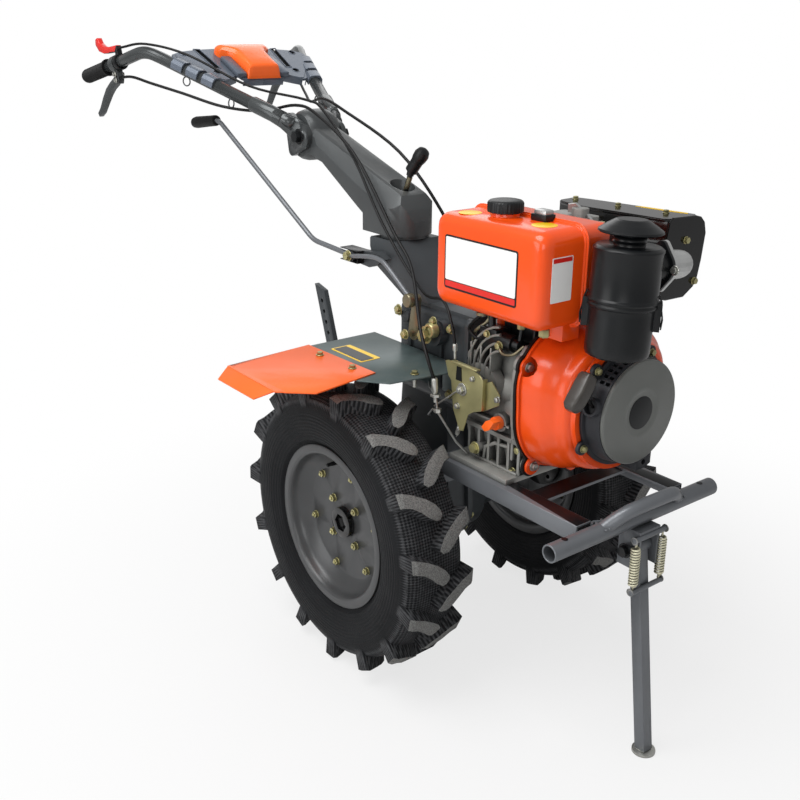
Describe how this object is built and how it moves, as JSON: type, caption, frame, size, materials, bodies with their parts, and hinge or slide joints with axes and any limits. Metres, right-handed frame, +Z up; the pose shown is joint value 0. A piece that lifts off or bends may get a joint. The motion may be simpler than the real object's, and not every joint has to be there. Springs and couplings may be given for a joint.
{
  "type": "two-wheel mini tiller",
  "caption": "Walking mini tiller with an air-cooled diesel engine, lugged drive tyres, front bumper and stand, and a swivelling handlebar.",
  "frame": {"origin": "floor level, in the middle of the length and width of the parked machine", "axes": "+X forward, in the machine's direction of travel, +Y to the machine's left, +Z up"},
  "size_m": [1.75, 0.9588, 1.189],
  "materials": {
    "dark_paint": "satin dark grey enamel",
    "grey_paint": "satin mid grey enamel",
    "orange_paint": "gloss orange enamel",
    "cast_aluminium": "as cast",
    "black_plastic": "satin black moulding",
    "black_paint": "satin black enamel",
    "rubber": "matt",
    "zinc": "yellow zinc plate",
    "spring_steel": "zinc plate",
    "signal_plastic": "gloss moulding",
    "tyre": "matt rubber"
  },
  "bodies": {
    "chassis": {"gearbox": "dark_paint", "pedestal": "dark_paint", "hitch": "dark_paint", "depth_bar": "dark_paint", "engine_frame": "grey_paint", "bumper": "grey_paint", "stand_bracket": "grey_paint", "crankcase": "cast_aluminium", "cylinder": "cast_aluminium", "fan_shroud": "orange_paint", "shroud_gasket": "rubber", "recoil_housing": "black_plastic", "recoil_cover": "black_plastic", "recoil_handle": "black_plastic", "fuel_tank": "orange_paint", "fuel_cap": "black_plastic", "air_cleaner": "black_paint", "air_cleaner_cap": "black_plastic", "intake_elbow": "cast_aluminium", "muffler": "black_paint", "muffler_shield": "black_paint", "governor_plate": "zinc", "injection_pump": "black_paint", "dipstick": "signal_plastic", "fender_plates": "dark_paint", "fender_panels": "orange_paint", "side_lever": "dark_paint", "shift_linkage": "zinc", "control_cables": "rubber"},
    "wheel_right": {"tyre_right": "tyre", "rim_right": "dark_paint", "hub_right": "black_paint"},
    "wheel_left": {"tyre_left": "tyre", "rim_left": "dark_paint", "hub_left": "black_paint"},
    "stand": {"stand_leg": "grey_paint", "stand_springs": "spring_steel"},
    "column": {"column_hood": "dark_paint", "gear_lever": "black_plastic"},
    "handlebar": {"handlebar_tubes": "dark_paint", "control_panel": "grey_paint", "panel_cover": "orange_paint", "grips": "black_plastic", "hand_levers": "dark_paint", "throttle_lever": "signal_plastic"}
  },
  "joints": [
    {"name": "wheel_right_spin", "type": "hinge", "parent": "chassis", "child": "wheel_right", "pos_m": [0.27006, -0.258, 0.295], "axis": [0, 1, 0], "continuous": true},
    {"name": "wheel_left_spin", "type": "hinge", "parent": "chassis", "child": "wheel_left", "pos_m": [0.27006, 0.258, 0.295], "axis": [0, 1, 0], "continuous": true},
    {"name": "stand_fold", "type": "hinge", "parent": "chassis", "child": "stand", "pos_m": [0.79706, -0.03, 0.395], "axis": [0, 1, 0], "range_deg": [0, 80], "deforming": ["stand_springs"]},
    {"name": "column_swivel", "type": "hinge", "parent": "chassis", "child": "column", "pos_m": [0.14006, -0.03, 0.819], "axis": [0, 0, 1], "range_deg": [-30, 30], "deforming": ["control_cables"]},
    {"name": "handlebar_tilt", "type": "hinge", "parent": "column", "child": "handlebar", "pos_m": [-0.16594, -0.03, 0.993], "axis": [0, 1, 0], "range_deg": [-10, 12], "deforming": ["control_cables"]}
  ]
}
